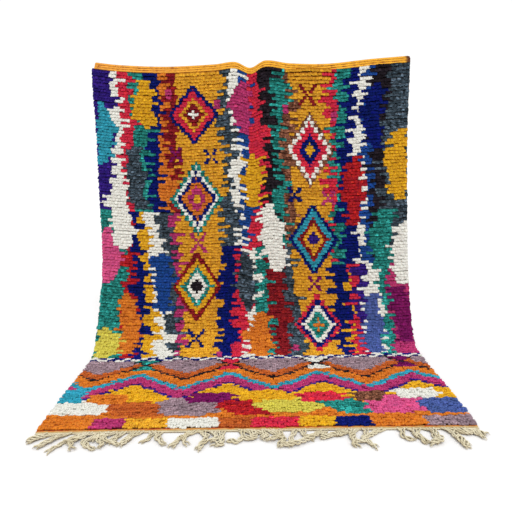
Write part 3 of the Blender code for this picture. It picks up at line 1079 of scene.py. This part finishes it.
def makeTopHeading():
    rng = np.random.default_rng(9)
    stations = headings["stations"]
    at, swings, puffs = [np.linspace(-1, 1, stations), *rng.normal(0, 1, (2, stations))]
    depth, pressedFrom, pressedOver = headings["under"]

    def place(u, v, front):
        along = cloth["topHeading"] * v
        left, right = (readTable(headings["topEnds"], column, along) for column in (1, 2))
        across = left + (right - left) * u
        sway = np.interp(across, at, swings) * headings["sway"] * np.sin(math.pi * v)
        rib = np.abs(np.sin(math.pi * headings["ribs"] * (v + sway)))
        leaning = across / headings["stitch"] + 0.5 * headings["ribs"] * v
        stitch = np.cos(fullTurn * leaning) * headings["stitchHeight"] * rib
        puff = np.interp(across, at, puffs) * headings["puff"]
        edge = (v < 0.01) | (v > 0.99)
        pressed = np.clip(overHeading(across) / pile["overHeading"][0][2], 0, 1)
        pressed = pressed * ease((v - pressedFrom) / pressedOver)
        face = headings["face"] + headings["height"] * rib**2 + stitch + puff
        face = np.where(edge, headings["edgeFace"], face) - depth * pressed
        hollow = headings["backHollow"] * (1 - rib) - 0.5 * stitch
        return across, along, np.where(front, face, np.where(edge, headings["edgeBack"], hollow))

    mesh = clothSheet("topHeading", headings["columns"], 6 * headings["ribs"], place)[0]
    return addPiece("topHeading", mesh, headingMaterial())


def frontHeadingMaterial():
    material, surface, w = newMaterial("endBandWool", sheen=0.15)
    across, place = w.weave()["Y"], w.objectPlace()
    fromFringe = w.stir(w.noise(place, 30.0, 3.0), 0.9, across)
    wide = w.noise(place, 16.0, 3.0, 0.7)
    straw, ochre, red, tan = (linear(frontHeading[key]) for key in ("straw", "ochre", "red", "tan"))
    first = w.blend(w.between(fromFringe, 0.18, 0.40), straw, ochre)
    # painted shadow: next to the pile the band goes red in patches, under the last row's overhang
    second = w.blend(w.between(wide, 0.46, 0.54), red, tan)
    yarn = w.blend(w.between(fromFringe, 0.50, 0.70), first, second)
    # painted shade between the weft lines
    up = w.between(w.wave(across, frontHeading["lines"]), -1.0, 0.4, 0.5, 1.0)
    placeWool(w, surface, yarn, up, w.noise(place, 90.0, 3.0), depth=0.5, marl=0.17)
    return material


def makeFrontHeading():
    start = cloth["length"] - cloth["frontHeading"]

    def place(u, v, front):
        across = (u * 2 - 1) * cloth["halfWidth"]
        line = np.cos(fullTurn * (frontHeading["lines"] * v + 0.5)) * frontHeading["lineHeight"]
        knot = np.sin(fullTurn * across / frontHeading["knot"]) * frontHeading["knotHeight"]
        height = frontHeading["height"]
        face = np.where((v < 0.01) | (v > 0.99), height * 0.6, height + line + knot)
        return across, start + cloth["frontHeading"] * v, np.where(front, face, 0.0)

    mesh = clothSheet("frontHeading", 2 * knots["across"], 2 * frontHeading["lines"], place)[0]
    return addPiece("frontHeading", mesh, frontHeadingMaterial())


def tubeMesh(name, lines, resolution=1):
    # round tubes along lines of places, each with its x, y, z and radius
    curve = bpy.data.curves.new(name, "CURVE")
    curve.dimensions = "3D"
    curve.bevel_depth = 1.0
    curve.bevel_resolution = resolution
    curve.use_fill_caps = True
    for line in lines:
        spline = curve.splines.new("POLY")
        spline.points.add(len(line) - 1)
        places = np.column_stack([line[:, :3], np.ones(len(line))])
        spline.points.foreach_set("co", places.ravel())
        spline.points.foreach_set("radius", np.ascontiguousarray(line[:, 3]))
    holder = bpy.data.objects.new(name, curve)
    scene.collection.objects.link(holder)
    mesh = finishedMesh(holder, name)
    mesh.shade_smooth()
    return mesh


def cordMaterial():
    material, surface, w = newMaterial("sideCordWool", sheen=0.15)
    place = w.objectPlace()
    speck = w.noise(place, 48.0, 2.0, 0.7)
    dark, brown = linear(sideCords["dark"]), linear(sideCords["brown"])
    yarn = w.blend(w.between(speck, 0.46, 0.50), dark, brown)
    yarn = w.blend(w.between(speck, 0.62, 0.65), yarn, yarnColour("gold"))
    placeWool(w, surface, yarn, 0.8, w.noise(place, 120.0), marl=0.17)
    return material


def makeSideCords():
    start, end = cloth["topHeading"] + 0.001, cloth["length"] - 0.004
    count = int((end - start) / (sideCords["wrap"] / 2))
    along = np.linspace(start, end, count)
    radius = sideCords["radius"] * np.where(np.arange(count) % 2, 1.0, sideCords["narrow"])
    reach = cloth["halfWidth"] - sideCords["in"]
    lines = [np.column_stack([drape(side * reach, along, sideCords["out"]), radius])
             for side in (-1, 1)]
    return addPiece("sideCords", tubeMesh("sideCords", lines), cordMaterial())


# the fringe: the warps, plied into strands, which run in loose twisted bunches that curl and cross
# on the floor
fringe = {
    "ply": 0.0019,  # three of these make a strand
    "pitch": 0.040,  # length of one full twist of a strand
    "edge": 0.0045,  # from the end of the weave to the middle of the edge cord
    "edgeCord": (0.0017, 0.016, 0.0040),  # its ply, its pitch and its height
    "rootSpacing": 0.0125,
    "gathersOver": 0.034,  # how far from the weave the strands of a bunch come together
    "turnEvery": 0.090,  # how far a bunch runs while its strands go once round each other
    "wave": 0.0038,  # how far a strand wanders from its bunch
    "wavelength": 0.046,
    "overCord": (0.0045, 0.004, 0.010),  # half of them rise over the edge cord: rise, place, width
    "thick": 2.1,  # a strand's radius against a ply's
    "bunch": (1.4, 0.62),  # how wide and how high the strands of a bunch wind round each other
    "loosens": (0.35, 0.75),  # by how much, and from which share of its length
    "sinks": (0.5, 0.7),
    "cut": (0.84, 1.0),  # how much of its bunch a strand runs along
    "hairs": 5,
    "hair": (0.0011, 0.0006),  # its radius, and how much thinner its tip is
    # the strand wound round a bunch: its radius, turns, advance by radian, and distance from it
    "knot": (0.0027, 2.3, 0.0011, 0.0035),
    "cream": (0.91, 0.88, 0.77),
    "greyed": (0.85, 0.81, 0.68),
    "dirt": (0.58, 0.51, 0.39),
    # painted shade on the sides and undersides of the strands
    "undersideShade": (0.62, 0.54, 0.38),
    # strands, where its knot is or 0, what it lies on, then how far across and forward each bend is
    "bunches": [
        (6, 0.00, 0.000, (-0.782, 0.000), (-0.812, 0.026), (-0.846, 0.048)),
        (4, 0.00, 0.003, (-0.712, 0.000), (-0.752, 0.046), (-0.802, 0.102)),
        (3, 0.00, 0.000, (-0.656, 0.000), (-0.700, 0.056), (-0.748, 0.120)),
        (3, 0.00, 0.005, (-0.638, 0.000), (-0.678, 0.068), (-0.652, 0.112)),
        (4, 0.00, 0.000, (-0.546, 0.000), (-0.596, 0.032), (-0.636, 0.058), (-0.600, 0.094),
         (-0.558, 0.112)),
        (3, 0.00, 0.004, (-0.606, 0.000), (-0.586, 0.044), (-0.552, 0.078), (-0.566, 0.114)),
        (3, 0.00, 0.004, (-0.574, 0.000), (-0.554, 0.054), (-0.524, 0.070), (-0.494, 0.078)),
        (3, 0.00, 0.007, (-0.604, 0.000), (-0.652, 0.046), (-0.706, 0.068)),
        (3, 0.00, 0.006, (-0.530, 0.000), (-0.566, 0.036), (-0.606, 0.052)),
        (4, 0.00, 0.000, (-0.506, 0.000), (-0.516, 0.042), (-0.534, 0.070)),
        (5, 0.55, 0.000, (-0.446, 0.000), (-0.470, 0.052), (-0.492, 0.088)),
        (3, 0.00, 0.000, (-0.384, 0.000), (-0.388, 0.040), (-0.414, 0.072)),
        (4, 0.00, 0.003, (-0.368, 0.000), (-0.356, 0.050), (-0.320, 0.092)),
        (4, 0.45, 0.000, (-0.226, 0.000), (-0.274, 0.050), (-0.302, 0.110)),
        (2, 0.00, 0.004, (-0.244, 0.000), (-0.258, 0.060), (-0.236, 0.098)),
        (4, 0.00, 0.002, (-0.204, 0.000), (-0.172, 0.040), (-0.182, 0.076), (-0.204, 0.120)),
        (4, 0.00, 0.006, (-0.166, 0.000), (-0.132, 0.050), (-0.166, 0.086)),
        (4, 0.00, 0.000, (-0.124, 0.000), (-0.118, 0.046), (-0.112, 0.092), (-0.154, 0.078)),
        (3, 0.00, 0.000, (-0.046, 0.000), (-0.038, 0.046), (-0.060, 0.076), (-0.096, 0.058)),
        (5, 0.00, 0.002, (-0.036, 0.000), (0.008, 0.032), (-0.006, 0.064), (-0.038, 0.042)),
        (5, 0.00, 0.002, (0.000, 0.000), (0.052, 0.032), (0.034, 0.060)),
        (4, 0.50, 0.000, (0.048, 0.000), (0.080, 0.018), (0.114, 0.058), (0.090, 0.104)),
        (3, 0.00, 0.006, (0.086, 0.000), (0.110, 0.052), (0.080, 0.060), (0.044, 0.068)),
        (3, 0.00, 0.004, (0.158, 0.000), (0.144, 0.050), (0.128, 0.106)),
        (4, 0.00, 0.000, (0.180, 0.000), (0.190, 0.042), (0.226, 0.060)),
        (4, 0.00, 0.005, (0.264, 0.012), (0.206, 0.062), (0.150, 0.094), (0.090, 0.098)),
        (5, 0.45, 0.000, (0.360, 0.000), (0.352, 0.024), (0.304, 0.036), (0.238, 0.054)),
        (4, 0.00, 0.002, (0.378, 0.000), (0.364, 0.050), (0.368, 0.116)),
        (4, 0.00, 0.000, (0.480, 0.000), (0.442, 0.034), (0.400, 0.054), (0.416, 0.084),
         (0.444, 0.124)),
        (3, 0.00, 0.006, (0.420, 0.000), (0.418, 0.062), (0.390, 0.092), (0.364, 0.078)),
        (3, 0.00, 0.000, (0.556, 0.000), (0.552, 0.058), (0.592, 0.076)),
        (5, 0.50, 0.000, (0.602, 0.000), (0.602, 0.046), (0.630, 0.094)),
        (4, 0.00, 0.005, (0.654, 0.000), (0.674, 0.032), (0.682, 0.084), (0.630, 0.096)),
        (3, 0.00, 0.000, (0.664, 0.000), (0.670, 0.036), (0.656, 0.094)),
        (5, 0.55, 0.002, (0.728, 0.000), (0.744, 0.058), (0.762, 0.120)),
        (7, 0.00, 0.000, (0.752, 0.000), (0.774, 0.026), (0.816, 0.022), (0.852, 0.052)),
    ],
}


def edgeOf(across):
    return drape(across, cloth["length"])[..., :2]


def runAlong(line):
    return np.concatenate([[0.0], np.cumsum(np.linalg.norm(np.diff(line, axis=0), axis=1))])


def evenly(line, run, at):
    return np.stack([np.interp(at, run, column) for column in line.T], -1)


def plied(line, ply, pitch, phase):
    # three plies twisted round each other along a line
    run = runAlong(line)
    at = np.linspace(0, run[-1], max(int(run[-1] / (pitch / 7)), 6))
    path = evenly(line, run, at)
    tangent = unit(np.gradient(path, axis=0))
    side = unit(np.cross(tangent, (0.0, 0.0, 1.0)))
    over = np.cross(side, tangent)
    made = []
    for third in range(3):
        turn = (fullTurn * at / pitch + phase + fullTurn * third / 3)[:, None]
        places = path + (side * np.cos(turn) + over * np.sin(turn)) * ply * 1.1
        places[:, 2] = np.maximum(places[:, 2], ply * 1.02)
        made.append(np.column_stack([places, np.full(len(at), ply)]))
    return made


def bunchLine(bends, count=48):
    # the middle of a bunch, its bends rounded off, and its length
    path = np.array(bends)
    run = runAlong(path)
    line = evenly(path, run, np.linspace(0, run[-1], count))
    for _ in range(24):
        line[1:-1] = 0.25 * (line[:-2] + line[2:]) + 0.5 * line[1:-1]
    held = np.clip(line[:, 0], -cloth["halfWidth"], cloth["halfWidth"])
    forward = edgeOf(held)[:, 1] - fringe["edge"] - line[:, 1]
    return np.column_stack([line[:, 0], forward]), run[-1]


def strandLine(bunch, k, rng):
    strands, _, lift, *bends = bunch
    middle, length = bunchLine(bends)
    s = np.linspace(0, 1, len(middle))
    run = s * length
    ahead = unit(np.gradient(middle, axis=0))
    side = np.column_stack([-ahead[:, 1], ahead[:, 0]])
    gathered = ease(run / fringe["gathersOver"])
    root = (k - (strands - 1) / 2) * fringe["rootSpacing"] * rng.uniform(0.85, 1.15)
    turn = fullTurn * (run / fringe["turnEvery"] + k / strands)
    thick = fringe["thick"] * fringe["ply"]
    # the strands loosen towards the end of their bunch, and sink to the floor
    (loosened, loosensFrom), (sunk, sinksFrom) = fringe["loosens"], fringe["sinks"]
    around = thick / math.sin(math.pi / max(strands, 2))
    around = around * (1 + loosened * ease((s - loosensFrom) * 4))
    held = 1 - sunk * ease((s - sinksFrom) * 3.3)
    waves = fullTurn * run / fringe["wavelength"] / rng.uniform(0.7, 1.3) + rng.uniform(0, 6.28)
    wave = fringe["wave"] * np.sin(waves) * np.clip(s * 3, 0, 1)
    wide, high = fringe["bunch"]
    sideways = (wide * around * np.cos(turn) + wave) * gathered
    line = middle + side * sideways[:, None]
    line[:, 0] += root * (1 - gathered)
    rise, at, width = fringe["overCord"]
    rises = rise * np.exp(-(((run - at) / width) ** 2)) * rng.choice([0.0, 1.0])
    wound = high * around * (1 + np.sin(turn)) * gathered * held
    line = np.column_stack([line, thick + lift * gathered + wound + rises])
    return line[s <= rng.uniform(*fringe["cut"])]


def frayedEnd(line, rng):
    # the plies come apart into thin ends
    end = line[-1]
    heading = unit(line[-1] - line[-4])
    radius, thinner = fringe["hair"]
    made = []
    for _ in range(fringe["hairs"]):
        turn = rng.normal(0, 0.45)
        away = np.array([heading[0] * math.cos(turn) - heading[1] * math.sin(turn),
                         heading[0] * math.sin(turn) + heading[1] * math.cos(turn), 0.0])
        s = np.linspace(0, 1, 4)
        places = end + away * (s * rng.uniform(0.004, 0.010))[:, None]
        places[:, :2] += rng.normal(0, 0.0014, 2)
        sinking = end[2] * (1 - 0.6 * s) + rng.uniform(-0.0015, 0.0015)
        places[:, 2] = np.maximum(sinking, radius + 0.0001)
        made.append(np.column_stack([places, radius - thinner * s]))
    return made


def wrappedKnot(bunch):
    # one strand wound a little over twice round its bunch
    strands, at, lift, *bends = bunch
    line, _ = bunchLine(bends, 60)
    here = int(at * 59)
    ahead = unit(line[here + 3] - line[here - 3])
    side = np.array([-ahead[1], ahead[0]])
    around = 2 * fringe["ply"] / math.sin(math.pi / strands)
    wide, high = 1.25 * around, 0.62 * around
    radius, turns, advance, clear = fringe["knot"]
    angle = (np.linspace(-0.5, 0.5, 34) * fullTurn * turns)[:, None]
    flat = line[here] + ahead * (angle * advance) + side * (np.cos(angle) * (wide + clear))
    up = 0.004 + lift + high + np.sin(angle[:, 0]) * (high + clear)
    return np.column_stack([flat, np.maximum(up, radius + 0.0001), np.full(len(angle), radius)])


def makeFringe():
    rng = np.random.default_rng(31)
    # the cord along the edge
    edge = edgeOf(np.linspace(-cloth["halfWidth"], cloth["halfWidth"], 500))
    ply, pitch, height = fringe["edgeCord"]
    cord = np.column_stack([edge[:, 0], edge[:, 1] - fringe["edge"], np.full(len(edge), height)])
    lines, hairs = plied(cord, ply, pitch, 0.0), []
    for bunch in fringe["bunches"]:
        for k in range(bunch[0]):
            line = strandLine(bunch, k, rng)
            ply = fringe["ply"] * rng.uniform(0.88, 1.08)
            pitch = fringe["pitch"] * rng.uniform(0.85, 1.2)
            lines += plied(line, ply, pitch, rng.uniform(0, 6.28))
            hairs += frayedEnd(line, rng)
        if bunch[1]:
            lines.append(wrappedKnot(bunch))
    bm = bmesh.new()
    bm.from_mesh(tubeMesh("strands", lines))
    bm.from_mesh(tubeMesh("hairs", hairs, 0))
    mesh = meshFrom(bm, "fringe")
    mesh.shade_smooth()
    bakeStrips(mesh)
    return addPiece("fringe", mesh, fringeMaterial())


def bakeStrips(mesh, strips=12):
    # the map a bake uses: the fringe from above, cut into strips that lie over one another
    flat, corner, total, middle = readMesh(mesh)
    low, high = flat.min(0) - 0.001, flat.max(0) + 0.001
    span = (high[0] - low[0]) / strips
    strip = np.repeat(np.floor((middle[:, 0] - low[0]) / span), total)
    u = 0.03 + 0.94 * (flat[corner, 0] - low[0] - strip * span) / span
    v = (strip + 0.05 + 0.9 * (flat[corner, 1] - low[1]) / (high[1] - low[1])) / strips
    addMap(mesh, "OFBake", u, v)


def fringeMaterial():
    material, surface, w = newMaterial("fringeCotton", sheen=0.1, specular=0.2)
    place = w.objectPlace()
    cream, greyed, dirt, undersideShade = (linear(fringe[key]) for key in ("cream", "greyed", "dirt", "undersideShade"))
    yarn = w.blend(w.between(w.noise(place, 16.0, 3.0), 0.35, 0.65), cream, greyed)
    yarn = w.blend(w.between(w.noise(place, 75.0, 3.0, 0.7), 0.55, 0.80, 0.0, 0.35), yarn, dirt)
    facing = w.axes(w.add("ShaderNodeTexCoord").outputs["Normal"])
    up = w.between(facing["Z"], -0.2, 0.85)  # painted shade: darker where the strands face sideways or down, between them
    yarn = w.blend(w.between(up, 0.0, 0.6, 0.75, 0.0), yarn, undersideShade)
    placeWool(w, surface, yarn, up, w.noise(place, 260.0), depth=0.50, marl=0.08, fleck=0.2)
    return material


back = makeFoundation()
print("foundation woven:", len(back.data.polygons), "faces")
tufts = makePile()
print("pile knotted:", sum(len(p.data.polygons) for p in tufts), "faces in", len(tufts), "yarns")
ends = [makeTopHeading(), makeFrontHeading()]
cords = makeSideCords()
tassels = makeFringe()
faces = [len(p.data.polygons) for p in (*ends, cords, tassels)]
print("headings, side cords and fringe made:", faces, "faces")

# the floor, the light and the camera
studio = {
    "camera": {"place": (0.048, -2.143, 1.049), "down": 0.2193, "roll": -0.0269, "yaw": -0.0125},
    "lens": {"lens": 33.75, "sensor_width": 36.0},
    "key": {"turn": (0.62, 0.0, 0.20), "strength": 1.6, "angle": 0.60},
    "backdrop": (1.05, 0.78),  # how bright it looks, and how bright it lights
    "floorRadius": 14.0,
    "floorColour": (0.93, 0.93, 0.93, 1),
    "floorDrop": 0.0005,
}


def makeStudio():
    bm = bmesh.new()
    bmesh.ops.create_circle(bm, cap_ends=True, segments=96, radius=studio["floorRadius"])
    floor = bpy.data.objects.new("floor", meshFrom(bm, "floor"))
    floor.location.z = -studio["floorDrop"]
    material, surface, _ = newMaterial("paleFloor", specular=0.1)
    surface.inputs["Base Color"].default_value = studio["floorColour"]
    floor.data.materials.append(material)
    scene.collection.objects.link(floor)

    world = bpy.data.worlds.new("studio")
    world.use_nodes = True
    scene.world = world
    w = Wires(world.node_tree)
    looks, lights = studio["backdrop"]
    isSeen = w.add("ShaderNodeLightPath").outputs["Is Camera Ray"]
    strength = w.math("MULTIPLY_ADD", isSeen, looks - lights, lights)
    background = world.node_tree.nodes["Background"]
    w.feedAll(background, ("Color", "Strength"), ((1, 1, 1, 1), strength))

    sun = bpy.data.lights.new("key", "SUN")
    sun.energy = studio["key"]["strength"]
    sun.angle = studio["key"]["angle"]
    lamp = bpy.data.objects.new("key", sun)
    lamp.rotation_euler = studio["key"]["turn"]
    scene.collection.objects.link(lamp)

    view = studio["camera"]
    lens = bpy.data.cameras.new("view")
    for key, value in studio["lens"].items():
        setattr(lens, key, value)
    camera = bpy.data.objects.new("view", lens)
    turns = ((-view["yaw"], "Z"), (math.pi / 2 - view["down"], "X"), (view["roll"], "Z"))
    look = Matrix.Translation(view["place"])
    for angle, axis in turns:
        look = look @ Matrix.Rotation(angle, 4, axis)
    camera.matrix_world = look
    scene.collection.objects.link(camera)
    scene.camera = camera


makeStudio()

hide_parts("pile_field")
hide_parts("top_heading")
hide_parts("front_heading")
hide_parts("fringe_comb")
